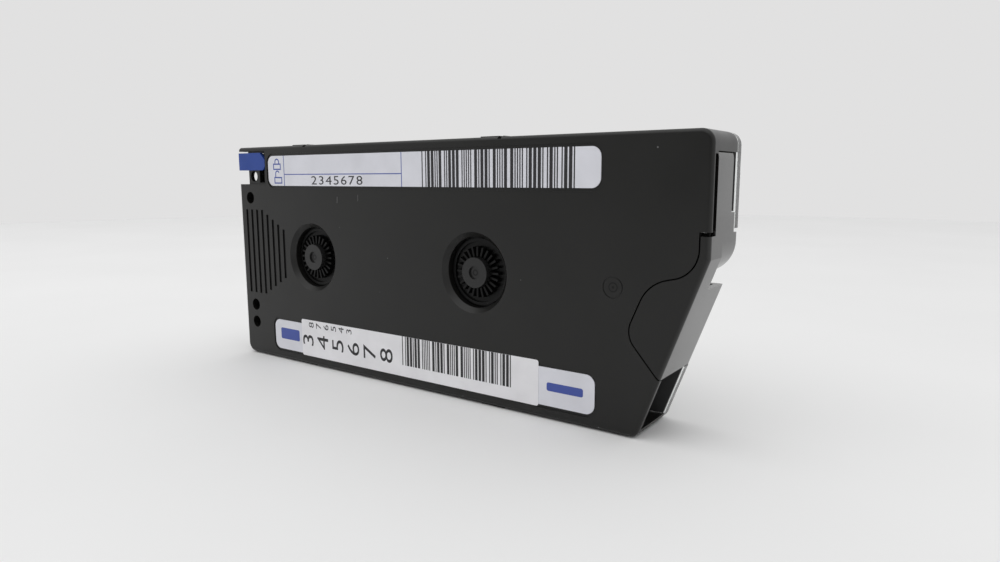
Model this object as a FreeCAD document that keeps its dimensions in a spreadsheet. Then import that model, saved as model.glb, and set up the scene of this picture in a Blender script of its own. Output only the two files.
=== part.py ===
import FreeCAD, Part
import math
import os
import re
import Sketcher

# Two-reel data tape cartridge. Every body is drawn from one datum: the lower left
# corner of the labelled face. x runs along the length, y into the depth, z upwards.
os.makedirs("parts", exist_ok=True)
doc = FreeCAD.newDocument("data_tape_cartridge")
V = FreeCAD.Vector

SIZES = {
    # housing
    "body_length": 148.5, "body_height": 64.0, "body_thick": 17.5, "shell_depth": 14.6,
    "face_wall": 1.6, "side_wall": 1.6, "cover_skin": 1.5, "arris_round": 0.9,
    "toe_set": 14.33, "shoulder_rise": 38.8, "toe_round": 1.8, "low_left_round": 2.8,
    "top_left_round": 1.0, "top_right_round": 2.8, "cover_arris": 0.6,
    # snap pads, on which the cartridge stands
    "foot_height": 0.35, "pad_left_x": 25.0, "pad_right_x": 93.1, "pad_length": 6.6,
    "pad_start": 1.0, "top_pad_height": 0.2, "pad_slot": 1.0, "pad_slot_deep": 0.5,
    "pad_slot_end": 0.2, "pad_slot_run": 3.0,
    # hub windows
    "hub_x": 32.8, "hub_spacing": 58.5, "hub_raise": 0.07, "window_round": 8.7,
    "window_flare": 1.15, "window_flare_deep": 1.3, "thrust_wall": 1.6, "thrust_gap": 0.3,
    # reels
    "flange_margin": 3.2, "flange_thick": 1.0, "flange_start": 3.6, "reel_gap": 0.5,
    "drum_round": 11.0, "drum_wall": 1.6, "web_thick": 1.4, "web_start": 3.2,
    "tape_width": 8.0, "tape_side_gap": 0.15, "pack_round": 20.3, "tape_thick": 0.15,
    "tape_gap": 0.1, "rim_round": 8.2, "rim_wall": 0.7, "rim_start": 2.6,
    "tooth_count": 24, "tooth_start": 1.7, "tooth_reach": 6.2, "tooth_wide": 0.5,
    "tooth_draft": 4.0,
    # brake buttons
    "button_round": 3.7, "button_start": 0.4, "button_gap": 0.15, "button_dish": 1.6,
    "button_dish_deep": 0.5, "brake_disc_round": 7.6, "brake_disc_thick": 1.2,
    "brake_gap": 0.3, "sleeve_wall": 0.8, "post_round": 2.5, "post_gap": 0.06,
    "button_travel": 1.4, "sleeve_end": 12.0, "button_crown": 1.9, "brake_coil_round": 4.7,
    "brake_wire": 0.3, "brake_coil_turns": 5,
    # guides
    "roller_round": 3.2, "roller_lip": 0.8, "roller_lip_thick": 0.5, "pin_round": 1.0,
    "pin_gap": 0.05, "boss_wall": 1.2, "pin_start": 0.8, "pin_bite": 1.0,
    "corner_roller_x": 11.0, "corner_roller_drop": 6.2, "upper_roller_x": 11.5,
    "upper_roller_z": 41.2, "lower_roller_x": 24.0, "lower_roller_z": 7.5,
    "guide_post_round": 1.6, "guide_post_drop": 4.8,
    # door
    "door_gap": 0.3, "door_wall": 1.6, "door_top": 43.4, "door_foot": 13.36,
    "tail_wide": 1.9, "neck_z": 35.67, "brow_x": 12.3, "brow_z": 33.27, "nose_x": 17.0,
    "nose_z": 22.15, "neck_round": 6.45, "brow_round": 8.0, "nose_round": 4.7,
    "door_split": 7.2, "notch_z": 32.0, "curl_x": 7.0, "curl_z": 41.5, "curl_round": 7.0,
    "curl_end": 16.2, "pivot_x": 3.2, "pivot_drop": 5.7, "arm_start": 3.0, "arm_end": 12.3,
    "arm_wide_end": 14.35, "arm_wide_z": 47.6, "strip_wall": 1.1, "wedge": 0.8,
    "slit_drop": 4.8, "ear_thick": 2.4, "rib_deep": 3.0, "door_arris": 1.0,
    "barrel_wall": 1.4, "coil_wire": 0.25, "coil_round": 1.3, "coil_turns": 3,
    "coil_end_gap": 0.3,
    # write-protect slider
    "lock_notch": 3.45, "lock_drop": 1.2, "lock_travel_room": 9.9, "lock_recess": 1.2,
    "lock_right": 13.1, "lock_floor": 1.2, "slider_high": 5.2, "slider_drop": 1.7,
    "slider_right": 12.75, "slider_gap": 0.1, "slider_thick": 0.95, "slider_travel": 4.0, "stem_x": 9.0,
    "stem_wide": 1.8, "stem_margin": 0.8, "stem_root": 0.4, "slot_margin": 0.3, "keeper_side": 0.8, "keeper_rise": 2.0, "keeper_thick": 1.0, "grip_wide": 3.0,
    "grip_end": 6.5, "lock_hole_x": 5.9, "lock_hole_rise": 2.4, "lock_hole_round": 1.6,
    "lock_wall": 1.0, "slider_bevel": 2.2, "bay_step": 0.5, "bay_cut": 2.5,
    # sensing holes, grip grooves and ring mark
    "sense_round": 1.8, "sense_deep": 6.5, "sense_step": 0.3, "sense_wall": 1.0, "sense_x": 5.1,
    "sense_high": 48.8, "sense_mid": 15.5, "sense_low": 10.05, "groove_first": 2.65,
    "groove_count": 8, "groove_even": 4, "groove_pitch": 2.465, "groove_wide": 1.0, "groove_deep": 0.7, "groove_low": 19.4,
    "groove_high": 45.2, "groove_step": 1.4, "ring_x": 20.2, "ring_z": 31.9,
    "ring_round": 2.4, "ring_line": 0.35, "ring_deep": 0.15,
    # labels
    "label_deep": 0.2, "label_margin": 0.7, "top_label_x": 14.6, "top_label_end": 23.5,
    "top_label_drop": 2.8, "top_label_high": 8.7, "low_label_x": 14.3,
    "low_label_end": 24.1, "low_label_z": 3.0, "low_label_high": 9.0,
    "label_round": 2.2, "sticker_x": 26.9, "sticker_z": 2.5, "sticker_length": 83.1,
    "sticker_high": 10.9, "sticker_thick": 0.1, "sticker_round": 0.6,
    # screws
    "screw_round": 0.85, "screw_head": 1.9, "screw_head_thick": 1.0, "screw_length": 9.0,
    "screw_boss": 2.3, "screw_gap": 0.1, "screw_collar": 0.8, "screw_left": 14.2,
    "screw_rise": 5.0, "screw_lock_x": 15.6, "screw_drop": 4.7, "screw_mid_rise": 7.5,
    "screw_mid_drop": 10.5,
}

sheet = doc.addObject("Spreadsheet::Sheet", "Dims")
for row, (alias, size) in enumerate(SIZES.items(), 1):
    sheet.set(f"A{row}", alias)
    sheet.set(f"B{row}", str(size))
    sheet.setAlias(f"B{row}", alias)
doc.recompute()


def bound(text):
    """The expression with each named size read from the sheet."""
    return re.sub(r"[a-z_]{3,}", lambda m: f"Dims.{m[0]}" if m[0] in SIZES else m[0], str(text))


def value(text):
    return float(sheet.evalExpression(str(text)))


# places that several pieces share
SLOPE = "toe_set / shoulder_rise"
HUB_Z = "body_height / 2 + hub_raise"
FLANGE_R = "(body_height / 2 - flange_margin)"
LOCK_HIGH = "body_height - lock_drop"
LOCK_LOW = "body_height - lock_drop - lock_travel_room"
HUB_X = {"supply": "hub_x", "takeup": "hub_x + hub_spacing"}
TAPE_START = "flange_start + flange_thick + tape_side_gap"
FLANGE_BACK = "flange_start + flange_thick + tape_width + 2 * tape_side_gap"
COVER_FLOOR = "body_thick - cover_skin"
GUIDES = {
    "top_guide_post": ("hub_x + hub_spacing / 2", "body_height - guide_post_drop"),
    "corner_roller": ("body_length - corner_roller_x", "body_height - corner_roller_drop"),
    "upper_roller": ("body_length - upper_roller_x", "upper_roller_z"),
    "lower_roller": ("body_length - lower_roller_x", "lower_roller_z"),
}
PIVOT = ("body_length - pivot_x", "body_height - pivot_drop")
LABELS = {
    "top_label": ("top_label_x", "body_height - top_label_drop - top_label_high",
                  "body_length - top_label_x - top_label_end", "top_label_high"),
    "lower_label": ("low_label_x", "low_label_z",
                    "body_length - low_label_x - low_label_end", "low_label_high"),
}
SCREWS = (
    ("screw_left", "screw_rise"), ("screw_lock_x", "body_height - screw_drop"),
    ("hub_x + hub_spacing / 2", "screw_mid_rise"),
    ("hub_x + hub_spacing / 2", "body_height - screw_mid_drop"),
    ("body_length - ring_x", "ring_z"),
)


def place(thing, x="0", y="0", z="0"):
    """Puts the datum where the cartridge's foot centre becomes the origin."""
    thing.setExpression("Placement.Base.x", bound(f"{x} - body_length / 2"))
    thing.setExpression("Placement.Base.y", bound(f"{y} - (body_thick - sticker_thick) / 2"))
    thing.setExpression("Placement.Base.z", bound(f"{z} + foot_height"))


def new_body(label, x="0", y="0", z="0"):
    body = doc.addObject("PartDesign::Body", label)
    body.Label = label
    place(body, x, y, z)
    return body


def origin_part(body, role):
    return [o for o in body.Origin.OriginFeatures if o.Role == role][0]


def sketch_on(body, depth="0"):
    """A sketch seen from the front, at a depth behind the labelled face."""
    sketch = body.newObject("Sketcher::SketchObject", f"{body.Label}_outline")
    sketch.AttachmentSupport = (origin_part(body, "XZ_Plane"), [""])
    sketch.MapMode = "FlatFace"
    sketch.setExpression("AttachmentOffset.Base.z", bound(f"-({depth})"))
    return sketch


def profile_on(body):
    """A half section, radius along x and depth along y, for turned pieces."""
    sketch = body.newObject("Sketcher::SketchObject", f"{body.Label}_profile")
    sketch.AttachmentSupport = (origin_part(body, "XY_Plane"), [""])
    sketch.MapMode = "FlatFace"
    return sketch


def fix_point(sketch, geometry, end, x, z):
    for kind, text in (("DistanceX", x), ("DistanceY", z)):
        index = sketch.addConstraint(
            Sketcher.Constraint(kind, -1, 1, geometry, end, value(text)))
        sketch.setExpression(f"Constraints[{index}]", bound(text))


def draw_circle(sketch, x, z, radius):
    centre = V(value(x), value(z), 0)
    circle = sketch.addGeometry(Part.Circle(centre, V(0, 0, 1), value(radius)))
    fix_point(sketch, circle, 3, x, z)
    index = sketch.addConstraint(Sketcher.Constraint("Radius", circle, value(radius)))
    sketch.setExpression(f"Constraints[{index}]", bound(radius))


def draw_outline(sketch, corners):
    """A closed outline. A corner is (x, z) or (x, z, radius) of its rounding."""
    points = [V(value(c[0]), value(c[1]), 0) for c in corners]
    count = len(corners)
    starts, ends, arcs = list(points), list(points), {}
    for i, corner in enumerate(corners):
        if len(corner) < 3:
            continue
        before = (points[i - 1] - points[i]).normalize()
        after = (points[(i + 1) % count] - points[i]).normalize()
        half = before.getAngle(after) / 2
        radius = value(corner[2])
        ends[i] = points[i] + before * (radius / math.tan(half))
        starts[i] = points[i] + after * (radius / math.tan(half))
        centre = points[i] + (before + after).normalize() * (radius / math.sin(half))
        rays = [ends[i] - centre, starts[i] - centre]
        clockwise = rays[0].cross(rays[1]).z < 0
        first, last = [math.atan2(ray.y, ray.x) for ray in (rays[::-1] if clockwise else rays)]
        circle = Part.Circle(centre, V(0, 0, 1), radius)
        arcs[i] = Part.ArcOfCircle(circle, first, last), (2 if clockwise else 1)
    lines = []
    for i in range(count):
        line = Part.LineSegment(starts[i], ends[(i + 1) % count])
        lines.append(sketch.addGeometry(line))
    for i, corner in enumerate(corners):
        into, out = lines[i - 1], lines[i]
        if i not in arcs:
            sketch.addConstraint(Sketcher.Constraint("Coincident", into, 2, out, 1))
            fix_point(sketch, out, 1, corner[0], corner[1])
            continue
        vertex = sketch.addGeometry(Part.Point(points[i]), True)
        fix_point(sketch, vertex, 1, corner[0], corner[1])
        sketch.addConstraint(Sketcher.Constraint("PointOnObject", vertex, 1, into))
        sketch.addConstraint(Sketcher.Constraint("PointOnObject", vertex, 1, out))
        shape, first = arcs[i]
        arc = sketch.addGeometry(shape)
        sketch.addConstraint(Sketcher.Constraint("Tangent", into, 2, arc, first))
        sketch.addConstraint(Sketcher.Constraint("Tangent", arc, 3 - first, out, 1))
        index = sketch.addConstraint(Sketcher.Constraint("Radius", arc, value(corner[2])))
        sketch.setExpression(f"Constraints[{index}]", bound(corner[2]))


def box_corners(x, z, wide, high, radius=None):
    corners = [(x, z), (f"{x} + {wide}", z), (f"{x} + {wide}", f"{z} + {high}"),
               (x, f"{z} + {high}")]
    return [c + (radius,) for c in corners] if radius else corners


def shifted(corners, gap):
    """The outline moved out of a body drawn anticlockwise by a gap, radii included."""
    out = []
    for i, corner in enumerate(corners):
        sides = []
        for a, b in ((corners[i - 1], corner), (corner, corners[(i + 1) % len(corners)])):
            run, rise = f"({b[0]} - ({a[0]}))", f"({b[1]} - ({a[1]}))"
            span = f"sqrt({run} ^ 2 + {rise} ^ 2)"
            sides.append((f"({rise} / {span})", f"(-{run} / {span})"))
        (nx, nz), (mx, mz) = sides
        share = f"{gap} / (1 + {nx} * {mx} + {nz} * {mz})"
        x, z = f"{corner[0]} + {share} * ({nx} + {mx})", f"{corner[1]} + {share} * ({nz} + {mz})"
        turn = value(nx) * value(mz) - value(nz) * value(mx)
        radius = () if len(corner) < 3 else (f"{corner[2]} {'+' if turn > 0 else '-'} {gap}",)
        out.append((x, z) + radius)
    return out


def finish_feature(body, feature, sketch):
    sketch.Visibility = False
    doc.recompute()
    body.Tip = feature
    return feature


def pad(body, start, length, *outlines, circles=(), taper=0):
    """Adds material from a depth towards the back."""
    sketch = sketch_on(body, start)
    for outline in outlines:
        draw_outline(sketch, outline)
    for circle in circles:
        draw_circle(sketch, *circle)
    feature = body.newObject("PartDesign::Pad", f"{body.Label}_pad")
    feature.Profile = sketch
    feature.Reversed = True
    feature.setExpression("Length", bound(length))
    if taper:
        feature.setExpression("TaperAngle", bound(taper))
    return finish_feature(body, feature, sketch)


def pocket(body, start, length, *outlines, circles=(), taper=0):
    """Cuts from a depth towards the back, and makes sure that something was cut."""
    before = body.Tip.Shape.Volume
    sketch = sketch_on(body, start)
    for outline in outlines:
        draw_outline(sketch, outline)
    for circle in circles:
        draw_circle(sketch, *circle)
    feature = body.newObject("PartDesign::Pocket", f"{body.Label}_pocket")
    feature.Profile = sketch
    feature.setExpression("Length", bound(length))
    if taper:
        feature.setExpression("TaperAngle", bound(taper))
    finish_feature(body, feature, sketch)
    if feature.Shape.Volume >= before - 1e-6:
        raise RuntimeError(f"{feature.Name} cuts nothing")
    return feature


def turned(body, *outlines):
    """Revolves half sections about the body's depth axis."""
    sketch = profile_on(body)
    for outline in outlines:
        draw_outline(sketch, outline)
    feature = body.newObject("PartDesign::Revolution", f"{body.Label}_turned")
    feature.Profile = sketch
    feature.ReferenceAxis = (sketch, ["V_Axis"])
    feature.Angle = 360
    return finish_feature(body, feature, sketch)


def round_edges(body, radius, chosen):
    """Rounds the edges whose ends and middle all pass the test."""
    names, base = [], body.Tip
    for index, edge in enumerate(base.Shape.Edges, 1):
        marks = [v.Point for v in edge.Vertexes]
        marks.append(edge.valueAt((edge.FirstParameter + edge.LastParameter) / 2))
        if all(chosen(mark) for mark in marks):
            names.append(f"Edge{index}")
    feature = body.newObject("PartDesign::Fillet", f"{body.Label}_fillet")
    feature.Base = (base, names)
    feature.setExpression("Radius", bound(radius))
    doc.recompute()
    body.Tip = feature
    return feature


def outer_corners():
    return [
        ("0", "0", "low_left_round"),
        ("body_length - toe_set", "0", "toe_round"),
        ("body_length", "shoulder_rise"),
        ("body_length", "body_height", "top_right_round"),
        ("0", "body_height", "top_left_round"),
    ]


def slant_x(z, inset="0"):
    """Where the slanted edge, or its inner face, stands at a height."""
    return (f"body_length - (shoulder_rise - ({z})) * {SLOPE}"
            f" - ({inset}) * sqrt(1 + ({SLOPE}) ^ 2)")


def knee_z(inset):
    """Where the inner slanted face meets the inner end face."""
    return f"shoulder_rise + ({inset}) * (sqrt(1 + ({SLOPE}) ^ 2) - 1) / ({SLOPE})"


def seam_corners(top):
    """The door's S-shaped side plate."""
    end = "body_length"
    return [
        (f"{end} - tail_wide", top), (f"{end} - tail_wide", "neck_z", "neck_round"),
        (f"{end} - brow_x", "brow_z", "brow_round"), (f"{end} - nose_x", "nose_z", "nose_round"),
        (slant_x("door_foot"), "door_foot"), (end, "shoulder_rise"), (end, top)]


def door_opening():
    """The side plate's outline and its gap, open past the slanted edge and the end."""
    plate = seam_corners("door_top + wedge")
    grown = shifted(plate, "door_gap")
    past = "body_length + 2 * door_wall"
    edge = [grown[0][:1] + ("door_top + wedge",)] + grown[1:4]
    run = "(nose_z - door_foot)"
    back = f"(({slant_x('door_foot')}) - (body_length - nose_x))"
    foot_z = f"{grown[4][1]} - ({past} - ({grown[4][0]})) * {run} / {back}"
    return edge + [(past, foot_z), (past, "door_top + wedge")]


def reel_place(reel):
    return HUB_X[reel], "0", HUB_Z


# ---------------------------------------------------------------- front shell
def make_front_shell():
    body = new_body("front_shell")
    pad(body, "0", "shell_depth", outer_corners())
    round_edges(body, "arris_round", lambda p: p.y < 1e-6)
    inner_right = "body_length - side_wall"
    pen_x = "lock_right + lock_wall"
    pen_z = f"{LOCK_LOW} - side_wall"
    pocket(body, "face_wall", "shell_depth", [
        ("side_wall", "side_wall"),
        (slant_x("side_wall", "side_wall"), "side_wall"),
        (inner_right, knee_z("side_wall")),
        (inner_right, "body_height - side_wall"),
        (pen_x, "body_height - side_wall"),
        (pen_x, pen_z),
        ("side_wall", pen_z),
    ])
    centres = [(HUB_X[reel], HUB_Z) for reel in HUB_X]
    pad(body, "face_wall", "web_start - thrust_gap - face_wall",
        circles=[c + ("window_round + thrust_wall",) for c in centres])
    pocket(body, "0", "flange_start", circles=[c + ("window_round",) for c in centres])
    for centre in centres:
        flare_cone(body, centre)
    bosses = [c + ("pin_round + boss_wall",) for c in GUIDES.values()]
    pad(body, "face_wall", "flange_start - thrust_gap - face_wall", circles=bosses)
    pocket(body, "pin_start", "flange_start",
           circles=[c + ("pin_round",) for n, c in GUIDES.items() if n != "top_guide_post"])
    pocket(body, "pin_start", "flange_start",
           circles=[GUIDES["top_guide_post"] + ("guide_post_round",)])
    pad(body, "face_wall", "shell_depth - face_wall",
        circles=[(x, z, "screw_boss") for x, z in SCREWS])
    pocket(body, "shell_depth - screw_length + screw_head_thick", "shell_depth",
           circles=[(x, z, "screw_round") for x, z in SCREWS])
    sense = ("sense_high", "sense_mid", "sense_low")
    pad(body, "face_wall", "sense_deep + sense_wall - face_wall",
        circles=[("sense_x", z, "sense_round + sense_wall") for z in sense])
    for index, z in enumerate(sense):
        pocket(body, "0", f"sense_deep - {index} * sense_step",
               circles=[("sense_x", z, "sense_round")])
    write_protect_bay(body)
    door_end(body)
    face_details(body)
    pocket(body, "flange_start - thrust_gap", "shell_depth",
           circles=[("hub_x", HUB_Z, f"{FLANGE_R} + reel_gap")])
    return body


def flare_cone(body, centre):
    """The sloping rim around a hub window."""
    sketch = sketch_on(body, "0")
    draw_circle(sketch, *centre, "window_round + window_flare")
    feature = body.newObject("PartDesign::Pocket", "window_rim")
    feature.Profile = sketch
    feature.setExpression("Length", bound("window_flare_deep"))
    feature.setExpression("TaperAngle", bound("-atan(window_flare / window_flare_deep)"))
    finish_feature(body, feature, sketch)


def write_protect_bay(body):
    """The slider's notch, recess, guide slot, sensing hole and the bay behind them."""
    bay_top = "body_height - side_wall"
    bay_right = "lock_right - bay_step"
    pocket(body, "lock_recess + lock_floor", "shell_depth", [
        ("lock_notch", LOCK_LOW), (f"{bay_right} - bay_cut", LOCK_LOW),
        (bay_right, f"{LOCK_LOW} + bay_cut"), (bay_right, bay_top), ("lock_notch", bay_top)])
    pocket(body, "0", "shell_depth",
           box_corners("-1", LOCK_LOW, "1 + lock_notch", "lock_travel_room"))
    pocket(body, "0", "lock_recess", box_corners(
        "lock_notch - bay_step", LOCK_LOW, "lock_right - lock_notch + bay_step",
        "lock_travel_room"))
    pocket(body, "lock_recess", "lock_floor", box_corners(
        "stem_x - slot_margin", f"{LOCK_LOW} + bay_step", "stem_wide + 2 * slot_margin",
        "lock_travel_room - 2 * bay_step"))
    pocket(body, "lock_recess", "lock_floor",
           circles=[("lock_hole_x", f"{LOCK_LOW} + lock_hole_rise", "lock_hole_round")])


def door_end(body):
    """Cuts the end open for the door, its arm and its pivot, and the window below it."""
    end = "body_length"
    pocket(body, "0", "shell_depth", door_opening())
    pocket(body, "face_wall", "shell_depth", [
        (f"{end} - toe_set - 6", "side_wall"), (f"{end} + 1", "side_wall"),
        (f"{end} + 1", "nose_z"), (f"{end} - toe_set - 6", "nose_z")])
    pocket(body, "strip_wall", "shell_depth", box_corners(
        f"{end} - tail_wide", "door_top + wedge / 2", "tail_wide + 1",
        "body_height - slit_drop - door_top - wedge / 2"))
    pad(body, "face_wall", "arm_start - door_gap - face_wall",
        circles=[PIVOT + ("pin_round + boss_wall",)])
    pocket(body, "arm_start - door_gap", "shell_depth",
           circles=[PIVOT + ("pivot_x + door_gap",)])
    pocket(body, "pin_start", "arm_start", circles=[PIVOT + ("pin_round",)])


def face_details(body):
    """Grip grooves, label recesses, the ring mark and the snap pads."""
    grooves = []
    for i in range(SIZES["groove_count"]):
        shrink = f"groove_step * {max(0, i + 1 - SIZES['groove_even'])}"
        grooves.append(box_corners(
            f"groove_first + {i} * groove_pitch", f"groove_low + {shrink}", "groove_wide",
            f"groove_high - groove_low - 2 * {shrink}"))
    pocket(body, "0", "groove_deep", *grooves)
    for x, z, length, high in LABELS.values():
        pocket(body, "0", "label_deep", box_corners(
            f"{x} - label_margin", f"{z} - label_margin", f"{length} + 2 * label_margin",
            f"{high} + 2 * label_margin", "label_round + label_margin"))
    ring = ("body_length - ring_x", "ring_z")
    pocket(body, "0", "ring_deep",
           circles=[ring + ("ring_round",), ring + ("ring_round - ring_line",)])
    depth = "shell_depth - pad_start"
    pads = ("pad_left_x", "pad_right_x")
    pad(body, "pad_start", depth, *[
        box_corners(x, "-foot_height", "pad_length", "foot_height + side_wall / 2") for x in pads])
    pad(body, "pad_start", depth, *[
        box_corners(x, "body_height - side_wall / 2", "pad_length",
                    "top_pad_height + side_wall / 2") for x in pads])
    pocket(body, "0", "pad_slot_run", *[
        box_corners(f"{x} + pad_length - pad_slot_end - pad_slot",
                    "body_height - pad_slot_deep", "pad_slot", "1") for x in pads])


# ---------------------------------------------------------------- rear cover
def make_rear_cover():
    body = new_body("rear_cover")
    pad(body, "shell_depth", "body_thick - shell_depth", outer_corners())
    round_edges(body, "cover_arris", lambda p: p.y > value("body_thick") - 1e-6)
    inner_right = "body_length - side_wall"
    pocket(body, "shell_depth", "body_thick - shell_depth - cover_skin", [
        ("side_wall", "side_wall"),
        (slant_x("side_wall", "side_wall"), "side_wall"),
        (inner_right, knee_z("side_wall")),
        (inner_right, "body_height - side_wall"),
        ("side_wall", "body_height - side_wall"),
    ])
    posts = [(HUB_X[reel], HUB_Z, "post_round") for reel in HUB_X]
    crown = "web_start + web_thick + button_crown + button_travel + 2 * brake_gap"
    pad(body, crown, f"body_thick - cover_skin / 2 - ({crown})", circles=posts)
    pins = {n: c for n, c in GUIDES.items() if n != "top_guide_post"}
    bosses = [c + ("pin_round + boss_wall",) for c in GUIDES.values()]
    start = f"{FLANGE_BACK} + flange_thick + thrust_gap"
    pad(body, start, f"body_thick - cover_skin / 2 - ({start})", circles=bosses + [
        PIVOT + ("pin_round + boss_wall",)])
    pocket(body, "shell_depth - 1", "body_thick - shell_depth",
           circles=[c + ("pin_round",) for c in pins.values()] + [PIVOT + ("pin_round",)])
    pocket(body, "shell_depth - 1", "body_thick - shell_depth",
           circles=[GUIDES["top_guide_post"] + ("guide_post_round",)])
    pad(body, "shell_depth", "body_thick - cover_skin / 2 - shell_depth",
        circles=[(x, z, "screw_head + screw_collar") for x, z in SCREWS])
    pocket(body, "shell_depth - 1", "body_thick",
           circles=[(x, z, "screw_round + screw_gap") for x, z in SCREWS])
    pocket(body, "body_thick - screw_head_thick - screw_gap", "body_thick",
           circles=[(x, z, "screw_head + screw_gap") for x, z in SCREWS])
    pocket(body, "shell_depth - 3", "body_thick", door_opening())
    pocket(body, "shell_depth", "body_thick",
           box_corners("-1", LOCK_LOW, "1 + lock_notch", "lock_travel_room"))
    return body


# ---------------------------------------------------------------- door
def make_door():
    body = new_body("door")
    end, wall = "body_length", "door_wall"
    inner_end = f"{end} - {wall}"
    mitre = (f"door_wall * sqrt(1 + ({SLOPE}) ^ 2) / ({SLOPE} + (({slant_x('door_foot')})"
             f" - {end} + nose_x) / (nose_z - door_foot))")
    heel = (slant_x(f"door_foot + {mitre}", wall), f"door_foot + {mitre}")
    toe = (slant_x("door_foot"), "door_foot")
    pad(body, "0", wall, seam_corners("door_top"))
    pad(body, f"body_thick - {wall}", wall, seam_corners("door_top"))
    pocket(body, "door_split", "body_thick", box_corners(
        f"{end} - 2 * nose_x", "notch_z", "3 * nose_x", "body_height - notch_z"))
    pad(body, "0", "door_split", [
        heel, toe, (end, "shoulder_rise"), (end, "door_top"), (inner_end, "door_top"),
        (inner_end, knee_z(wall))])
    pad(body, "0", "body_thick", [
        heel, toe, (slant_x("notch_z"), "notch_z"), (slant_x("notch_z", wall), "notch_z")])
    round_edges(body, "door_arris", on_door_arris)
    door_curl(body)
    door_arm(body)
    return body


def on_door_arris(point):
    """The door's outer corners, where its face and back turn into its end."""
    end = min(value("body_length"), value(slant_x(str(point.z))))
    face = min(abs(point.y), abs(point.y - value("body_thick")))
    return abs(point.x - end) < 1e-4 and face < 1e-6


def door_curl(body):
    """The rounded lip above the notch, which closes the end beside the tape's exit."""
    cx, cz = value("body_length - curl_x"), value("curl_z")
    neck = V(value("body_length - tail_wide - neck_round"),
             value("neck_z + neck_round * tan(38.5)"), 0)
    sketch = sketch_on(body, "door_split - 0.4")
    end, top = value("body_length"), value("door_top")
    inner, outer = value("neck_round"), value("curl_round")
    foot = math.radians(-72)
    neck_foot = neck + V(math.cos(foot), math.sin(foot), 0) * inner
    curl_foot = V(cx, cz, 0) + V(math.cos(foot), math.sin(foot), 0) * outer
    corner = V(end, top, 0)
    shape = [
        Part.LineSegment(V(neck.x + inner, top, 0), V(neck.x + inner, neck.y, 0)),
        Part.Arc(V(neck.x + inner, neck.y, 0),
                 neck + V(math.cos(foot / 2), math.sin(foot / 2), 0) * inner, neck_foot),
        Part.LineSegment(neck_foot, curl_foot),
        Part.Arc(curl_foot, V(cx, cz, 0) + V(math.cos(foot / 2), math.sin(foot / 2), 0) * outer,
                 V(cx + outer, cz, 0)),
        Part.LineSegment(V(cx + outer, cz, 0), corner),
        Part.LineSegment(corner, V(neck.x + inner, top, 0)),
    ]
    for piece in shape:
        sketch.addGeometry(piece)
    feature = body.newObject("PartDesign::Pad", "door_curl")
    feature.Profile = sketch
    feature.Reversed = True
    feature.setExpression("Length", bound("curl_end - door_split + 0.4"))
    finish_feature(body, feature, sketch)


def door_arm(body):
    """The upper arm in the end opening, with two ears on the pivot pin."""
    end = "body_length"
    foot = "door_top - 1"
    pivot_z = PIVOT[1]
    pad(body, "arm_start", "arm_wide_end - arm_start", box_corners(
        f"{end} - door_wall", foot, "door_wall", f"arm_wide_z - ({foot})"))
    pad(body, "arm_start", "arm_end - arm_start", box_corners(
        f"{end} - door_wall", foot, "door_wall", f"{pivot_z} - ({foot})"))
    for start in ("arm_start", "arm_end - ear_thick"):
        pad(body, start, "ear_thick", [
            (f"{end} - door_wall - rib_deep", pivot_z), (f"{end} - door_wall", foot),
            (end, foot), (end, pivot_z)])
        pad(body, start, "ear_thick", circles=[PIVOT + ("pivot_x",)])
    pad(body, "arm_start", "arm_end - arm_start",
        circles=[PIVOT + ("pivot_x",), PIVOT + ("pivot_x - barrel_wall",)])
    pocket(body, "arm_start - 1", "body_thick", circles=[PIVOT + ("pin_round + pin_gap",)])


# ---------------------------------------------------------------- reels
def make_reel(reel):
    body = new_body(f"{reel}_reel_hub", *reel_place(reel))
    bore = "button_round + button_gap"
    web_back = "web_start + web_thick"
    flange_back = "flange_start + flange_thick"
    turned(body, [
        (bore, "web_start"), ("rim_round - rim_wall", "web_start"),
        ("rim_round - rim_wall", "rim_start"), ("rim_round", "rim_start"),
        ("rim_round", "web_start"), ("drum_round", "web_start"),
        ("drum_round", "flange_start"), (FLANGE_R, "flange_start"),
        (FLANGE_R, flange_back), ("drum_round", flange_back),
        ("drum_round", FLANGE_BACK), ("drum_round - drum_wall", FLANGE_BACK),
        ("drum_round - drum_wall", web_back), (bore, web_back)])
    sketch = sketch_on(body, "tooth_start")
    draw_outline(sketch, box_corners(bore, "-tooth_wide / 2", f"tooth_reach - ({bore})", "tooth_wide"))
    tooth = body.newObject("PartDesign::Pad", f"{reel}_tooth")
    tooth.Profile = sketch
    tooth.Reversed = True
    tooth.setExpression("Length", bound("web_start - tooth_start"))
    tooth.setExpression("TaperAngle", bound("tooth_draft"))
    finish_feature(body, tooth, sketch)
    ring = body.newObject("PartDesign::PolarPattern", f"{reel}_teeth")
    ring.Originals = [tooth]
    ring.Axis = (origin_part(body, "Y_Axis"), [""])
    ring.Angle = 360
    ring.setExpression("Occurrences", bound("tooth_count"))
    doc.recompute()
    body.Tip = ring
    flange = new_body(f"{reel}_reel_flange", *reel_place(reel))
    lip = "drum_round - drum_wall"
    turned(flange, [
        (f"{lip} - 0.8", f"{FLANGE_BACK} - 0.8"), (lip, f"{FLANGE_BACK} - 0.8"),
        (lip, FLANGE_BACK), (FLANGE_R, FLANGE_BACK),
        (FLANGE_R, f"{FLANGE_BACK} + flange_thick"),
        (f"{lip} - 0.8", f"{FLANGE_BACK} + flange_thick")])
    pack = new_body(f"{reel}_tape_pack", *reel_place(reel))
    turned(pack, [
        ("drum_round", TAPE_START), ("pack_round", TAPE_START),
        ("pack_round", f"{TAPE_START} + tape_width"), ("drum_round", f"{TAPE_START} + tape_width")])
    return body, flange, pack


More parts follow.
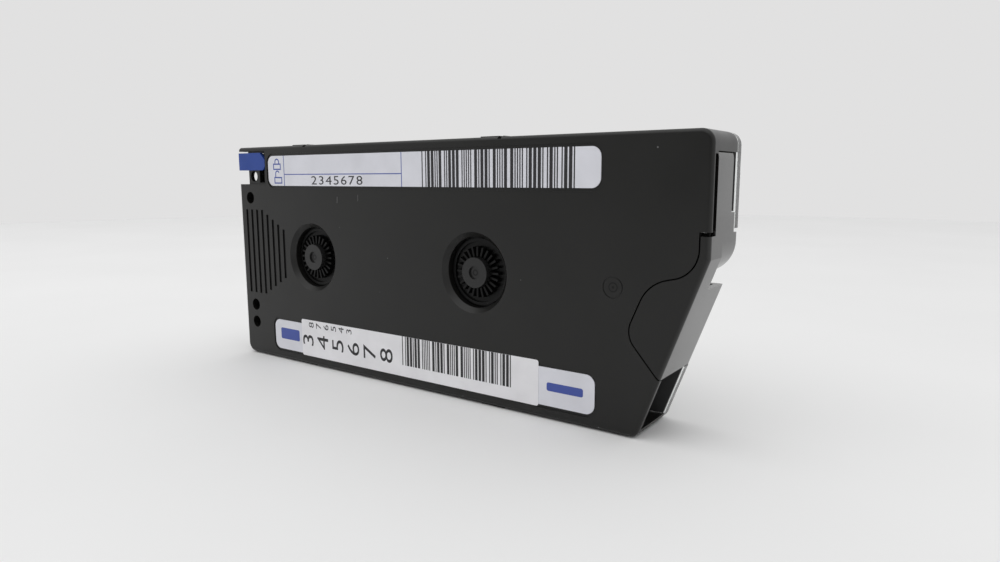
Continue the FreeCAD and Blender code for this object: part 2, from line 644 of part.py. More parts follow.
def make_brake(reel):
    """The button in the hub's middle, its friction disc and the spring behind it."""
    body = new_body(f"{reel}_brake_button", *reel_place(reel))
    disc = "web_start + web_thick + brake_gap"
    disc_back = f"{disc} + brake_disc_thick"
    bore = "post_round + post_gap"
    sleeve = f"{bore} + sleeve_wall"
    bore_end = f"{disc} + button_crown"
    turned(body, [
        ("0", "button_start + button_dish_deep"), ("button_dish", "button_start + button_dish_deep"),
        ("button_dish", "button_start"), ("button_round", "button_start"),
        ("button_round", disc), ("brake_disc_round", disc), ("brake_disc_round", disc_back),
        (sleeve, disc_back), (sleeve, "sleeve_end"), (bore, "sleeve_end"), (bore, bore_end),
        ("0", bore_end)])
    helix = doc.addObject("Part::Helix", f"{reel}_brake_helix")
    wire = doc.addObject("Part::Circle", f"{reel}_brake_wire")
    helix.setExpression("Radius", bound("brake_coil_round"))
    rise = f"({COVER_FLOOR}) - ({disc_back}) - 2 * brake_wire - 0.1"
    helix.setExpression("Height", bound(rise))
    helix.setExpression("Pitch", bound(f"({rise}) / brake_coil_turns"))
    wire.setExpression("Radius", bound("brake_wire"))
    wire.Placement = FreeCAD.Placement(V(value("brake_coil_round"), 0, 0),
                                       FreeCAD.Rotation(V(1, 0, 0), 90))
    wire.setExpression("Placement.Base.x", bound("brake_coil_round"))
    spring = doc.addObject("Part::Sweep", f"{reel}_brake_spring")
    spring.Label = f"{reel}_brake_spring"
    spring.Sections = [wire]
    spring.Spine = (helix, [])
    spring.Solid = True
    spring.Frenet = True
    spring.Placement = FreeCAD.Placement(V(0, 0, 0), FreeCAD.Rotation(V(1, 0, 0), -90))
    place(spring, HUB_X[reel], f"({disc_back}) + brake_wire + 0.05", HUB_Z)
    return body, spring


# ---------------------------------------------------------------- tape path
def make_roller(name):
    body = new_body(name, GUIDES[name][0], "0", GUIDES[name][1])
    bore, lip = "pin_round + pin_gap", "roller_round + roller_lip"
    front, back = "flange_start + flange_thick", FLANGE_BACK
    turned(body, [
        (bore, f"{front} - roller_lip_thick"), (lip, f"{front} - roller_lip_thick"),
        (lip, front), ("roller_round", front), ("roller_round", back), (lip, back),
        (lip, f"{back} + roller_lip_thick"), (bore, f"{back} + roller_lip_thick")])
    pin = new_body(f"{name}_pin", GUIDES[name][0], "0", GUIDES[name][1])
    pad(pin, "pin_start", "body_thick - cover_skin - pin_bite / 2 - pin_start",
        circles=[("0", "0", "pin_round")])
    return body, pin


def make_guide_post():
    body = new_body("top_guide_post", GUIDES["top_guide_post"][0], "0", GUIDES["top_guide_post"][1])
    pad(body, "pin_start", "body_thick - cover_skin - pin_bite / 2 - pin_start",
        circles=[("0", "0", "guide_post_round")])
    return body


def tape_line(shift):
    """The tape's run over its guides, as tangent lines and arcs, a shift off each."""
    wheels = [(HUB_X["supply"], HUB_Z, "pack_round + tape_gap / 2")]
    for name, centre in GUIDES.items():
        size = "guide_post_round" if name == "top_guide_post" else "roller_round"
        wheels.append(centre + (size,))
    wheels.append((HUB_X["takeup"], HUB_Z, "pack_round + tape_gap / 2"))
    wheels = [(V(value(x), 0, value(z)), value(r) + shift) for x, z, r in wheels]
    edges, last = [], None
    for (a, ra), (b, rb) in zip(wheels, wheels[1:]):
        along = (b - a).normalize()
        lean = (ra - rb) / a.distanceToPoint(b)
        side = along * lean + V(-along.z, 0, along.x) * math.sqrt(1 - lean ** 2)
        start, stop = a + side * ra, b + side * rb
        if last:
            middle = (last[1] + side).normalize()
            edges.append(Part.Arc(last[0], a + middle * ra, start).toShape())
        edges.append(Part.LineSegment(start, stop).toShape())
        last = (stop, side)
    return edges


def make_tape_span():
    inner = tape_line(value("tape_gap / 2"))
    outer = tape_line(value("tape_gap / 2 + tape_thick"))
    ends = [Part.LineSegment(inner[i].Vertexes[i].Point, outer[i].Vertexes[i].Point).toShape()
            for i in (0, -1)]
    wire = Part.Wire(Part.__sortEdges__(inner + outer + ends))
    band = doc.addObject("Part::Feature", "tape_span")
    band.Label = "tape_span"
    band.Shape = Part.Face(wire).extrude(V(0, value("tape_width"), 0))
    place(band, "0", TAPE_START, "0")
    return band


# ---------------------------------------------------------------- small pieces
def make_slider():
    body = new_body("write_protect_slider")
    front = "lock_recess - slider_thick - slider_gap"
    high = "body_height - slider_drop"
    low = f"{high} - slider_high"
    right = "slider_right"
    pad(body, front, "slider_thick", [
        ("slider_gap", low), (f"{right} - slider_bevel / 2", low),
        (right, f"{low} + slider_bevel / 2"), (right, f"{high} - slider_bevel"),
        (f"{right} - slider_bevel", high), ("slider_gap", high)])
    pad(body, front, f"grip_end - ({front})",
        box_corners("slider_gap", low, "grip_wide", "slider_high"))
    stem_low = f"{LOCK_LOW} + slider_travel + stem_margin"
    stem_high = f"{LOCK_HIGH} - stem_margin"
    pad(body, "lock_recess - stem_root", "lock_floor + stem_root + slot_margin", box_corners(
        "stem_x", stem_low, "stem_wide", f"{stem_high} - ({stem_low})"))
    keeper_low = f"{LOCK_LOW} + slider_travel + keeper_rise"
    pad(body, "lock_recess + lock_floor + slot_margin / 2", "keeper_thick", box_corners(
        "stem_x - keeper_side", keeper_low, "stem_wide + 2 * keeper_side",
        f"{stem_high} - ({keeper_low})"))
    return body


def make_label(label, x, z, length, high, radius, start, thick):
    body = new_body(label)
    pad(body, start, thick, box_corners(x, z, length, high, radius))
    return body


def make_door_pin():
    body = new_body("door_pivot_pin", PIVOT[0], "0", PIVOT[1])
    pad(body, "pin_start", "body_thick - cover_skin - pin_bite / 2 - pin_start",
        circles=[("0", "0", "pin_round")])
    return body


def make_screws():
    """Identical pan-head screws, each turned from one half section."""
    heads = []
    for index, (x, z) in enumerate(SCREWS):
        head = doc.addObject("Part::Cylinder", f"screw_head_{index}")
        head.setExpression("Radius", bound("screw_head"))
        head.setExpression("Height", bound("screw_head_thick"))
        shank = doc.addObject("Part::Cylinder", f"screw_shank_{index}")
        shank.setExpression("Radius", bound("screw_round"))
        shank.setExpression("Height", bound("screw_length"))
        for thing in (head, shank):
            thing.Placement = FreeCAD.Placement(V(0, 0, 0), FreeCAD.Rotation(V(1, 0, 0), 90))
        place(head, x, "body_thick - 0.1", z)
        place(shank, x, "body_thick - 0.1", z)
        screw = doc.addObject("Part::Fuse", f"screw_{index}")
        screw.Base = head
        screw.Tool = shank
        heads.append(screw)
    group = doc.addObject("Part::Compound", "cover_screws")
    group.Label = "cover_screws"
    group.Links = heads
    return group


def make_door_spring():
    """The coil around the pivot pin that holds the door shut."""
    helix = doc.addObject("Part::Helix", "door_helix")
    wire = doc.addObject("Part::Circle", "door_spring_wire")
    inset = "ear_thick + coil_end_gap + coil_wire"
    room = f"arm_end - arm_start - 2 * ({inset})"
    helix.setExpression("Radius", bound("coil_round"))
    helix.setExpression("Height", bound(room))
    helix.setExpression("Pitch", bound(f"({room}) / coil_turns"))
    wire.setExpression("Radius", bound("coil_wire"))
    wire.Placement = FreeCAD.Placement(V(0, 0, 0), FreeCAD.Rotation(V(1, 0, 0), 90))
    wire.setExpression("Placement.Base.x", bound("coil_round"))
    spring = doc.addObject("Part::Sweep", "door_spring")
    spring.Label = "door_spring"
    spring.Sections = [wire]
    spring.Spine = (helix, [])
    spring.Solid = True
    spring.Frenet = True
    spring.Placement = FreeCAD.Placement(V(0, 0, 0), FreeCAD.Rotation(V(1, 0, 0), -90))
    place(spring, PIVOT[0], f"arm_start + {inset}", PIVOT[1])
    return spring


nodes = [make_front_shell(), make_rear_cover(), make_door(), make_door_pin(), make_door_spring(),
         make_slider(), make_guide_post(), make_tape_span(), make_screws()]
for reel in HUB_X:
    nodes.extend(make_reel(reel))
    nodes.extend(make_brake(reel))
for name in ("corner_roller", "upper_roller", "lower_roller"):
    nodes.extend(make_roller(name))
for name, corners in LABELS.items():
    nodes.append(make_label(name, *corners, "label_round", "0", "label_deep"))
nodes.append(make_label("volume_sticker", "sticker_x", "sticker_z", "sticker_length",
                        "sticker_high", "sticker_round", "-sticker_thick", "sticker_thick"))
doc.recompute()

for thing in doc.Objects:
    if "Invalid" in thing.State or "Error" in thing.State:
        raise RuntimeError(f"{thing.Name}: {thing.State}")
for node in nodes:
    if node.Shape.isNull() or not node.Shape.isValid():
        raise RuntimeError(f"{node.Label} has no valid shape")
for node in nodes:
    node.Shape.exportStep(f"parts/{node.Label}.step")
    box = node.Shape.BoundBox
    print(f"{node.Label:24s} solids {len(node.Shape.Solids)} volume {node.Shape.Volume:9.1f}"
          f" x {box.XMin:7.2f} {box.XMax:7.2f} y {box.YMin:6.2f} {box.YMax:6.2f}"
          f" z {box.ZMin:6.2f} {box.ZMax:6.2f}")
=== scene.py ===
import math

import bmesh
import bpy
from mathutils import Matrix, Vector


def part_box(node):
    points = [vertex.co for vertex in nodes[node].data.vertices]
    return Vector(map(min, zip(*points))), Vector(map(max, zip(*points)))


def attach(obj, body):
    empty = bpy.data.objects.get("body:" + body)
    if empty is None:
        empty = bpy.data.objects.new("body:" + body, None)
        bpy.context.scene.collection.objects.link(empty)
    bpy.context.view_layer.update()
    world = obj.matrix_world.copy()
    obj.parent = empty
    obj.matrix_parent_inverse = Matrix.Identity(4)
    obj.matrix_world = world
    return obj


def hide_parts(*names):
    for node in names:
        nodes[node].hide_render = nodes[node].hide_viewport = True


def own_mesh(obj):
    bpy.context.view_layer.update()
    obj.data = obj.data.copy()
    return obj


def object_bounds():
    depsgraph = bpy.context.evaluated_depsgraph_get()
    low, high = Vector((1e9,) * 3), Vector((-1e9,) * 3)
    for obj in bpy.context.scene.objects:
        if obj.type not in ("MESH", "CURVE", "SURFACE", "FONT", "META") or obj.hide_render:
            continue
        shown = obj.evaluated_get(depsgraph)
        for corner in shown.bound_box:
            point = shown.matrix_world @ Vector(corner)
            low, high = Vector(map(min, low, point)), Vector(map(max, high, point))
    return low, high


# A data tape cartridge standing on its long edge. Everything is in metres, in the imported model's
# frame: x along the cartridge, y through it from the labelled face, z up from the floor.
# Outlines are in millimetres from the lower left corner of the labelled face, and depths in
# millimetres behind that face.
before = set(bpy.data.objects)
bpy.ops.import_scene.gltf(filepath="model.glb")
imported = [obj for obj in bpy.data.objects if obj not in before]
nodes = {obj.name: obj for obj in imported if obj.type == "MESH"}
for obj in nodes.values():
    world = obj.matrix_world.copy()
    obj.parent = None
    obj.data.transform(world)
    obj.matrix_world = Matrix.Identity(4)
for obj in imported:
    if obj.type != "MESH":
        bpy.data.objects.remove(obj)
cad_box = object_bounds()
MM = 0.001
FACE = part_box("front_shell")[0].y
LEFT = cad_box[0][0]
FOOT = 0.35 * MM                        # the snap pads lift the face's lower edge off the floor
LENGTH = (cad_box[1][0] - cad_box[0][0]) / MM
PRINT_LIFT = 0.01 * MM                  # print in front of its label
MARK_LIFT = 0.02 * MM                   # marks in front of the moulded face


# ---------------------------------------------------------------- materials
class Nodes:
    """A short way to write a node material around its principled shader."""

    def __init__(self, name):
        self.material = bpy.data.materials.new(name)
        self.material.use_nodes = True
        self.tree = self.material.node_tree
        self.shader = self.tree.nodes["Principled BSDF"]
        coordinates = self.tree.nodes.new("ShaderNodeTexCoord").outputs
        self.place, self.facing = coordinates["Object"], coordinates["Normal"]

    def add(self, kind, inputs=None, **settings):
        node = self.tree.nodes.new(f"ShaderNode{kind}")
        for key, value in settings.items():
            setattr(node, key, value)
        for key, value in (inputs or {}).items():
            self.feed(node, key, value)
        return node

    def feed(self, node, key, value):
        if isinstance(value, bpy.types.NodeSocket):
            self.tree.links.new(value, node.inputs[key])
        else:
            node.inputs[key].default_value = value

    def noise(self, scale, detail):
        node = self.add("TexNoise", {"Vector": self.place, "Scale": scale, "Detail": detail})
        return node.outputs["Fac"]

    def between(self, value, low, high, start=0.0, end=1.0):
        node = self.add("MapRange", {"Value": value, "From Min": low, "From Max": high,
                                     "To Min": start, "To Max": end})
        return node.outputs[0]

    def mix(self, share, first, second):
        node = self.add("Mix", data_type="RGBA")
        for key, value in ((0, share), (6, first), (7, second)):
            self.feed(node, key, value)
        return node.outputs[2]

    def bump(self, height, distance, strength):
        node = self.add("Bump", {"Height": height, "Distance": distance, "Strength": strength})
        self.feed(self.shader, "Normal", node.outputs[0])

    def set(self, **sockets):
        for key, value in sockets.items():
            self.feed(self.shader, key.replace("_", " "), value)


def grey(level, tint=(1.0, 1.0, 1.0)):
    return tuple(level * share for share in tint) + (1.0,)


DUST = grey(0.16)
GRAIN_SCALE = 0.5 / (0.12 * MM)


def moulded(name, dark, light, rough=(0.30, 0.40), spec=0.5, coat=None, specks=True):
    """Dark moulded plastic: a fine matt grain, faint clouding, and dust that has settled on it."""
    m = Nodes(name)
    cloud = m.noise(40.0, 3.0)
    colour = m.mix(m.between(cloud, 0.35, 0.65), dark, light)
    if specks:
        dust = m.add("TexVoronoi", {"Vector": m.place, "Scale": 260.0, "Randomness": 1.0})
        dot = m.between(dust.outputs["Distance"], 0.03, 0.055, 1.0, 0.0)
        kept = m.add("Math", {0: dot, 1: m.between(m.noise(55.0, 1.0), 0.57, 0.61)},
                     operation="MULTIPLY")
        colour = m.mix(kept.outputs[0], colour, DUST)
    m.set(Base_Color=colour, Roughness=m.between(m.noise(90.0, 4.0), 0.3, 0.7, *rough))
    m.shader.inputs["Specular IOR Level"].default_value = spec
    if coat:
        # smoother where it looks along x, on the end wall that slides past the drive
        across = m.add("SeparateXYZ", {0: m.facing}).outputs["X"]
        m.feed(m.shader, "Coat Weight", m.between(across, 0.3, 0.7, *coat))
        m.shader.inputs["Coat Roughness"].default_value = 0.12
    m.bump(m.noise(GRAIN_SCALE, 2.0), 0.02 * MM, 0.35)
    return m.material


def plain(name, colour, rough, spec=0.5, metal=0.0, grain=3000.0):
    """A surface of one colour, a little uneven in tone and in gloss."""
    m = Nodes(name)
    tone = m.between(m.noise(120.0, 3.0), 0.3, 0.7, 0.93, 1.04)
    shade = m.add("Mix", {0: 1.0, 6: colour}, data_type="RGBA", blend_type="MULTIPLY")
    m.tree.links.new(m.add("CombineColor", {0: tone, 1: tone, 2: tone}).outputs[0],
                     shade.inputs[7])
    m.set(Base_Color=shade.outputs[2], Metallic=metal)
    m.set(Roughness=m.between(m.noise(200.0, 3.0), 0.3, 0.7, rough - 0.05, rough + 0.05))
    m.shader.inputs["Specular IOR Level"].default_value = spec
    m.bump(m.noise(grain, 2.0), 0.01 * MM, 0.3)
    return m.material


def clear_plastic():
    m = Nodes("clear_plastic")
    m.set(Base_Color=(0.93, 0.95, 0.94, 1.0), IOR=1.585)
    m.shader.inputs["Transmission Weight"].default_value = 1.0
    m.set(Roughness=m.between(m.noise(60.0, 4.0), 0.3, 0.75, 0.03, 0.16))
    return m.material


WARM = (1.0, 0.99, 0.9)
HOUSING = moulded("housing_plastic", grey(0.0068, WARM), grey(0.0085, WARM), spec=0.36)
DOOR = moulded("door_plastic", grey(0.0062, WARM), grey(0.0078, WARM), rough=(0.2, 0.27), spec=0.2,
               coat=(0.28, 0.6))
# painted shade: the reel hubs' plastic is darker and duller than the housing, for the shade inside
# the cartridge
SHADED_HUB = moulded("hub_painted_shade", grey(0.0042), grey(0.0052), spec=0.16, specks=False)
BUTTON = moulded("button_plastic", grey(0.013), grey(0.017), spec=0.36, specks=False)
# painted shade: a darker, duller copy of the housing plastic, for the grip grooves' floors and the
# dark circles on the face's ring and in the brake buttons
SHADED_HOUSING = moulded("housing_painted_shade", grey(0.0055), grey(0.0065), spec=0.2)
CLEAR = clear_plastic()
BLUE = plain("blue_plastic", (0.024, 0.066, 0.31, 1.0), 0.5, spec=0.3)
STEEL = plain("turned_steel", grey(0.5), 0.3, metal=1.0)
TAPE = plain("tape_film", (0.012, 0.01, 0.009, 1.0), 0.28)
REEL = plain("reel_plastic", grey(0.018, (1.0, 0.99, 0.97)), 0.42)
ROLLER = plain("roller_plastic", grey(0.55, (1.0, 0.99, 0.94)), 0.4)
STOCK = plain("label_stock", (0.74, 0.745, 0.80, 1.0), 0.38, grain=1500.0)
PAPER = plain("sticker_paper", (0.85, 0.845, 0.87, 1.0), 0.6, grain=900.0)
INK_BLUE = plain("blue_ink", (0.05, 0.085, 0.36, 1.0), 0.45)
INK_BLACK = plain("black_ink", (0.013, 0.0125, 0.015, 1.0), 0.5)
# painted shade: near-black matt plates behind the door's seam, beside its arm and beside the
# slider, where there is shade
SHADE = plain("painted_shade_black", grey(0.004), 0.7, spec=0.2)
# painted light: the window's inner web is far lighter than the housing plastic, for the light that
# reaches it
LIT_WEB = plain("web_painted_light", grey(0.045, (0.97, 0.98, 1.0)), 0.5, spec=0.4)
SCUFF = plain("scuff", grey(0.16), 0.6)

WORN_BY = (
    (HOUSING, ("front_shell",)),
    (DOOR, ("door",)),
    (CLEAR, ("rear_cover",)),
    (BLUE, ("write_protect_slider",)),
    (STEEL, ("door_pivot_pin", "top_guide_post", "corner_roller_pin", "upper_roller_pin",
             "lower_roller_pin", "cover_screws", "door_spring", "supply_brake_spring",
             "takeup_brake_spring")),
    (TAPE, ("tape_span", "supply_tape_pack", "takeup_tape_pack")),
    (SHADED_HUB, ("supply_reel_hub", "takeup_reel_hub")),
    (REEL, ("supply_reel_flange", "takeup_reel_flange")),
    (BUTTON, ("supply_brake_button", "takeup_brake_button")),
    (ROLLER, ("corner_roller", "upper_roller", "lower_roller")),
    (STOCK, ("top_label", "lower_label")),
    (PAPER, ("volume_sticker",)),
)
for material, names in WORN_BY:
    for name in names:
        mesh = nodes[name].data
        mesh.materials.clear()
        mesh.materials.append(material)
        mesh.polygons.foreach_set("use_smooth", [True] * len(mesh.polygons))


# ---------------------------------------------------------------- mesh helpers
def rounded(corners, steps=8):
    """The outline's points, with each corner that has a radius turned to an arc."""
    points = []
    for i, corner in enumerate(corners):
        here = Vector(corner[:2])
        if len(corner) < 3:
            points.append(here)
            continue
        back = (Vector(corners[i - 1][:2]) - here).normalized()
        ahead = (Vector(corners[(i + 1) % len(corners)][:2]) - here).normalized()
        half = back.angle(ahead) / 2
        centre = here + (back + ahead).normalized() * corner[2] / math.sin(half)
        start = here + back * corner[2] / math.tan(half) - centre
        turn = start.angle_signed(here + ahead * corner[2] / math.tan(half) - centre)
        for k in range(steps + 1):
            points.append(centre + Matrix.Rotation(-turn * k / steps, 2) @ start)
    return points


def flat(shape, outline, y):
    """A printed area: one face that looks forwards."""
    corners = [shape.verts.new((LEFT + x * MM, y, FOOT + z * MM)) for x, z in outline]
    face = shape.faces.new(corners)
    face.normal_update()
    if face.normal.y > 0:
        face.normal_flip()


def slab(shape, outline, start, end):
    """A plate between two depths behind the face."""
    rings = [[shape.verts.new((LEFT + x * MM, FACE + y * MM, FOOT + z * MM)) for x, z in outline]
             for y in (start, end)]
    shape.faces.new(rings[0])
    shape.faces.new(rings[1][::-1])
    for i in range(len(outline)):
        shape.faces.new((rings[0][i - 1], rings[0][i], rings[1][i], rings[1][i - 1]))


def box_outline(x, z, wide, high, radius=0.0):
    corners = [(x, z), (x + wide, z), (x + wide, z + high), (x, z + high)]
    return rounded([c + (radius,) for c in corners]) if radius else corners


def ribbon(points, width, closed=False):
    """Outlines of the strips that make up a drawn line, mitred where it turns."""
    line = [Vector(point) for point in points]
    count = len(line)
    edges = []
    for i, here in enumerate(line):
        back = (here - line[i - 1]).normalized() if closed or i else None
        ahead = (line[(i + 1) % count] - here).normalized() if closed or i < count - 1 else back
        along = ((back or ahead) + ahead).normalized()
        side = Vector((-along.y, along.x)) * width / 2 / along.dot(ahead)
        edges.append((here - side, here + side))
    return [[edges[i][0], edges[(i + 1) % count][0], edges[(i + 1) % count][1], edges[i][1]]
            for i in range(count if closed else count - 1)]


def bend(x, z, radius, start, end, steps=12):
    """Points on an arc, in degrees from the x axis."""
    turns = [math.radians(start + (end - start) * k / steps) for k in range(steps + 1)]
    return [(x + radius * math.cos(t), z + radius * math.sin(t)) for t in turns]


def piece(name, shape, material, body="shell"):
    mesh = bpy.data.meshes.new(name)
    shape.to_mesh(mesh)
    shape.free()
    mesh.materials.append(material)
    thing = bpy.data.objects.new(name, mesh)
    bpy.context.scene.collection.objects.link(thing)
    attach(thing, body)
    return thing


# ---------------------------------------------------------------- print
TOP_LABEL_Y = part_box("top_label")[0].y - PRINT_LIFT
LOW_LABEL_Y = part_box("lower_label")[0].y - PRINT_LIFT
STICKER_LOW, STICKER_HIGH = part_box("volume_sticker")
# nine bars and spaces for each sign, bar first; 1 is a wide one
CODE = {"*": "010010100", "2": "001100001", "3": "101100000", "4": "000110001",
        "5": "100110000", "6": "001110000", "7": "000100101", "8": "100100100"}
WIDE_BAR = 2.6


def bars(name, text, x, z, high, module, y):
    """Upright bars for a run of digits, thick and thin in the usual way of such codes."""
    shape = bmesh.new()
    for sign in f"*{text}*":
        for i, wide in enumerate(CODE[sign]):
            width = module * (WIDE_BAR if wide == "1" else 1.0)
            if i % 2 == 0:
                flat(shape, box_outline(x, z, width, high), y)
            x += width
        x += module
    piece(name, shape, INK_BLACK)


def digits(name, text, x, z, pitch, high, stretch, turn, y):
    """Plain numerals in a row, each turned about its own middle."""
    data = bpy.data.curves.new(name, "FONT")
    data.size = 1.0
    data.resolution_u = 4
    maker = bpy.data.objects.new(name, data)
    shape = bmesh.new()
    for i, sign in enumerate(text):
        data.body = sign
        bpy.context.scene.collection.objects.link(maker)
        bpy.context.view_layer.update()
        glyph = bpy.data.meshes.new_from_object(maker.evaluated_get(
            bpy.context.evaluated_depsgraph_get()))
        bpy.context.scene.collection.objects.unlink(maker)
        xs = [v.co.x for v in glyph.vertices]
        ys = [v.co.y for v in glyph.vertices]
        middle = Vector(((max(xs) + min(xs)) / 2, (max(ys) + min(ys)) / 2, 0.0))
        size = high * MM / (max(ys) - min(ys))
        spot = Vector((LEFT + (x + i * pitch) * MM, y, FOOT + z * MM))
        glyph.transform(
            Matrix.Translation(spot)
            @ Matrix.Rotation(math.radians(turn), 4, Vector((0, -1, 0)))
            @ Matrix.Rotation(math.pi / 2, 4, "X")
            @ Matrix.Diagonal((size * stretch, size, size, 1))
            @ Matrix.Translation(-middle))
        shape.from_mesh(glyph)
        bpy.data.meshes.remove(glyph)
    bpy.data.objects.remove(maker)
    piece(name, shape, INK_BLACK)


def top_label_print():
    """Ruled lines, a shut and an open padlock, bars and a number."""
    shape = bmesh.new()
    lines = [((21.9, 52.5), (21.9, 61.2)), ((68.6, 52.5), (68.6, 61.2)),
             ((22.03, 55.8), (68.47, 55.8))]
    for line in lines:
        flat(shape, ribbon(line, 0.25)[0], TOP_LABEL_Y)
    shut = [(17.2, 57.3), (20.3, 57.3), (20.3, 58.8), (17.2, 58.8)]
    loose = [(17.5, 53.3), (20.7, 53.3), (20.7, 54.9), (17.5, 54.9)]
    shackle = [(17.9, 58.98)] + bend(18.75, 59.4, 0.85, 180, 0) + [(19.6, 58.98)]
    lifted = [(18.0, 55.08)] + bend(18.8, 56.0, 0.8, 180, 20)
    for points, closed in ((shut, True), (loose, True), (shackle, False), (lifted, False)):
        for strip in ribbon(points, 0.36, closed):
            flat(shape, strip, TOP_LABEL_Y)
    piece("top_label_lines", shape, INK_BLUE)
    bars("top_label_bars", "2345678", 75.5, 52.5, 8.7, 0.328, TOP_LABEL_Y)
    digits("top_label_number", "2345678", 35.0, 54.1, pitch=3.05, high=2.35, stretch=1.55,
           turn=0.0, y=TOP_LABEL_Y)


def lower_label_print():
    """Two fields of colour, on either side of the sticker."""
    shape = bmesh.new()
    flat(shape, box_outline(17.0, 6.2, 8.6, 3.4, 0.5), LOW_LABEL_Y)
    flat(shape, box_outline(112.2, 6.6, 9.4, 2.0, 0.5), LOW_LABEL_Y)
    piece("lower_label_fields", shape, INK_BLUE)


def sticker():
    """The loose sticker, a little thinner than its solid so that its print stays within it."""
    shape = bmesh.new()
    low, high = STICKER_LOW, STICKER_HIGH
    x = (low.x - LEFT) / MM
    z = (low.z - FOOT) / MM
    tall = (high.z - low.z) / MM
    outline = box_outline(x, z, (high.x - low.x) / MM, tall, 0.6)
    slab(shape, outline, (low.y - FACE) / MM + 0.012, (high.y - FACE) / MM)
    paper = piece("sticker_sheet", shape, PAPER)
    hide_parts("volume_sticker")
    y = low.y + 0.004 * MM
    bars_foot = 5.6
    bars("sticker_bars", "345678", 67.5, bars_foot, z + tall - bars_foot, 0.297, y)
    digits("sticker_number", "345678", 29.6, 7.3, pitch=6.4, high=4.7, stretch=1.3, turn=90.0, y=y)
    digits("sticker_small_number", "876543", 31.2, 12.0, pitch=3.2, high=2.1, stretch=1.25,
           turn=90.0, y=y)


# ---------------------------------------------------------------- painted shade and light plates, and small marks
def plate(name, outline, start, end, material):
    shape = bmesh.new()
    slab(shape, outline, start, end)
    piece(name, shape, material)


def painted_shade_and_light_plates():
    """Painted shade: near-black plates behind the door's seam, beside its arm and beside the
    slider. Painted light: a light grey web in the window below the seam.
    """
    seam = rounded([(LENGTH - 2.05, 44.0), (LENGTH - 2.05, 35.55, 6.45), (LENGTH - 12.4, 33.4, 8.0),
                    (LENGTH - 17.15, 22.1, 4.7), (LENGTH - 9.7, 13.2)])
    strips = ribbon(seam[:-1], 2.6)
    near = [strip[0] for strip in strips] + [strips[-1][1]]
    far = [strip[3] for strip in strips] + [strips[-1][2]]
    plate("seam_shade_plate", near + far[::-1], 1.66, 2.3, SHADE)
    web = [(128.9, 1.75), (134.6, 1.75), (138.75, 13.1), (137.45, 14.55), (139.3, 19.8),
           (132.0, 19.8), (128.9, 13.0)]
    # painted light: the web is lighter than the plastic it stands for
    plate("inner_web", web, 13.9, 14.5, LIT_WEB)
    plate("end_shade_plate", box_outline(LENGTH - 1.5, 47.8, 1.2, 13.8), 12.45, 14.55, SHADE)
    plate("bay_shade_plate", box_outline(3.6, 53.1, 0.8, 9.0), 5.4, 14.4, SHADE)


def groove_floors():
    """The grip grooves' floors. The last four grooves get shorter at both ends."""
    shape = bmesh.new()
    for i in range(8):
        drop = 1.4 * max(0, i - 3)
        slab(shape, box_outline(2.7 + 2.465 * i, 19.45 + drop, 0.9, 25.7 - 2 * drop), 0.32, 0.66)
    # the floors wear the darker copy of the housing plastic: painted shade in the grooves
    piece("groove_floors", shape, SHADED_HOUSING)


def springs():
    """Copies of the brake springs, each with its own mesh, fixed to the shell in place of the
    imported ones.
    """
    for reel in ("supply", "takeup"):
        node = f"{reel}_brake_spring"
        coil = bpy.data.objects.new(f"{reel}_spring_coil", nodes[node].data.copy())
        bpy.context.scene.collection.objects.link(coil)
        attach(coil, "shell")
        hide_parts(node)
        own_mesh(coil)


def marks():
    """Painted shade: a dark circle and dot for the raised ring on the face. Dark circles in the
    brake buttons' dishes, and two small scuffs.
    """
    ring = (LENGTH - 20.2, 31.9)
    shape = bmesh.new()
    # painted shade: a dark circle and dot standing in for the relief of the raised ring
    for strip in ribbon(bend(*ring, 0.95, 0, 360, 32)[:-1], 0.22, True):
        flat(shape, strip, FACE - MARK_LIFT)
    flat(shape, bend(*ring, 0.28, 0, 345, 23), FACE - MARK_LIFT)
    piece("ring_painted_shade", shape, SHADED_HOUSING)
    for reel in ("supply", "takeup"):
        low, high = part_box(f"{reel}_brake_button")
        x, z = (low.x + high.x) / 2 - LEFT, (low.z + high.z) / 2 - FOOT
        shape = bmesh.new()
        for strip in ribbon(bend(x / MM, z / MM, 0.62, 0, 360, 24)[:-1], 0.3, True):
            flat(shape, strip, low.y + 0.47 * MM)
        piece(f"{reel}_button_dark_ring", shape, SHADED_HOUSING, f"{reel}_brake")
    scuffs = ((((44.2, 47.9), (44.35, 49.6)), 0.16), (((52.4, 48.6), (52.5, 50.2)), 0.09))
    shape = bmesh.new()
    for line, width in scuffs:
        flat(shape, ribbon(line, width)[0], FACE - MARK_LIFT)
    piece("face_scuffs", shape, SCUFF)


top_label_print()
lower_label_print()
sticker()
painted_shade_and_light_plates()
groove_floors()
springs()
marks()


# ---------------------------------------------------------------- stage
def make_floor():
    mesh = bpy.data.meshes.new("floor")
    shape = bmesh.new()
    bmesh.ops.create_circle(shape, cap_ends=True, segments=96, radius=0.9)
    shape.to_mesh(mesh)
    shape.free()
    floor = bpy.data.objects.new("floor", mesh)
    bpy.context.scene.collection.objects.link(floor)
    m = Nodes("floor_white")
    m.set(Base_Color=m.mix(m.between(m.noise(9.0, 3.0), 0.35, 0.7), grey(0.84), grey(0.86)),
          Roughness=0.75)
    mesh.materials.append(m.material)


def make_light(name, place, target, side, power):
    """A square area lamp that looks at a place."""
    data = bpy.data.lights.new(name, "AREA")
    data.shape = "RECTANGLE"
    data.size = data.size_y = side
    data.energy = power
    light = bpy.data.objects.new(name, data)
    light.location = place
    light.rotation_euler = (Vector(target) - Vector(place)).to_track_quat("-Z", "Y").to_euler()
    bpy.context.scene.collection.objects.link(light)


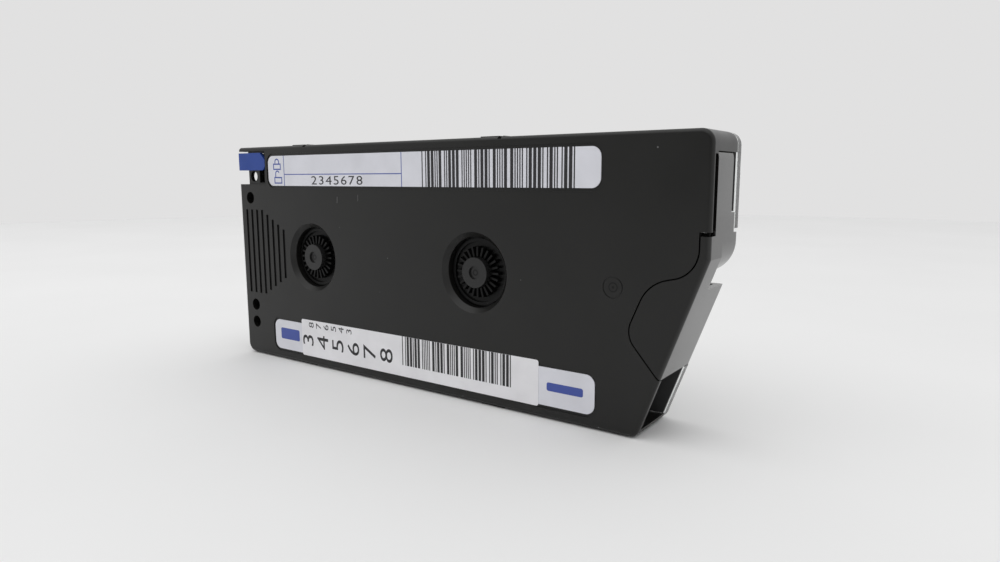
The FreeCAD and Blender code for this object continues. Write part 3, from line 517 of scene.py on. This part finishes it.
def make_world():
    """A pale backdrop for the camera, and a plain white room that lights the cartridge."""
    world = bpy.data.worlds.new("studio")
    world.use_nodes = True
    tree = world.node_tree
    tree.nodes.clear()
    out = tree.nodes.new("ShaderNodeOutputWorld")
    seen = tree.nodes.new("ShaderNodeBackground")
    seen.inputs[0].default_value = (0.755, 0.752, 0.752, 1.0)
    around = tree.nodes.new("ShaderNodeBackground")
    around.inputs[0].default_value = grey(1.0)
    # the room is darker on the side that the labelled face looks at
    where = tree.nodes.new("ShaderNodeTexCoord")
    facing = tree.nodes.new("ShaderNodeVectorMath")
    facing.operation = "DOT_PRODUCT"
    facing.inputs[1].default_value = (0.1, -0.995, 0.0)
    tree.links.new(where.outputs["Generated"], facing.inputs[0])
    level = tree.nodes.new("ShaderNodeMapRange")
    for key, value in (("From Min", 0.55), ("From Max", 1.0), ("To Min", 0.82), ("To Max", 0.17)):
        level.inputs[key].default_value = value
    tree.links.new(facing.outputs["Value"], level.inputs["Value"])
    tree.links.new(level.outputs[0], around.inputs[1])
    rays = tree.nodes.new("ShaderNodeLightPath")
    mix = tree.nodes.new("ShaderNodeMixShader")
    tree.links.new(rays.outputs["Is Camera Ray"], mix.inputs[0])
    tree.links.new(around.outputs[0], mix.inputs[1])
    tree.links.new(seen.outputs[0], mix.inputs[2])
    tree.links.new(mix.outputs[0], out.inputs[0])
    bpy.context.scene.world = world


def make_camera():
    """A close viewpoint near the cartridge's right end, turned by its yaw, pitch and roll."""
    data = bpy.data.cameras.new("camera")
    data.sensor_width = 36.0
    data.lens = 24.987
    data.clip_start = 0.01
    camera = bpy.data.objects.new("camera", data)
    place = (0.11798, -0.13973, 0.05515)
    yaw, pitch, roll = (math.radians(angle) for angle in (-35.364, -8.4955, -0.1535))
    ahead = Vector((math.sin(yaw) * math.cos(pitch), math.cos(yaw) * math.cos(pitch),
                    math.sin(pitch)))
    level = Vector((math.cos(yaw), -math.sin(yaw), 0.0))
    upright = level.cross(ahead)
    right = level * math.cos(roll) + upright * math.sin(roll)
    up = upright * math.cos(roll) - level * math.sin(roll)
    columns = Matrix((right, up, -ahead)).transposed().to_4x4()
    camera.matrix_world = Matrix.Translation(place) @ columns
    bpy.context.scene.collection.objects.link(camera)
    bpy.context.scene.camera = camera


make_floor()
make_world()
make_light("top_softbox", (-0.1, -0.35, 0.95), (0.0, 0.0, 0.0), side=1.3, power=3.6)
make_camera()
bpy.context.scene.view_settings.view_transform = "Standard"
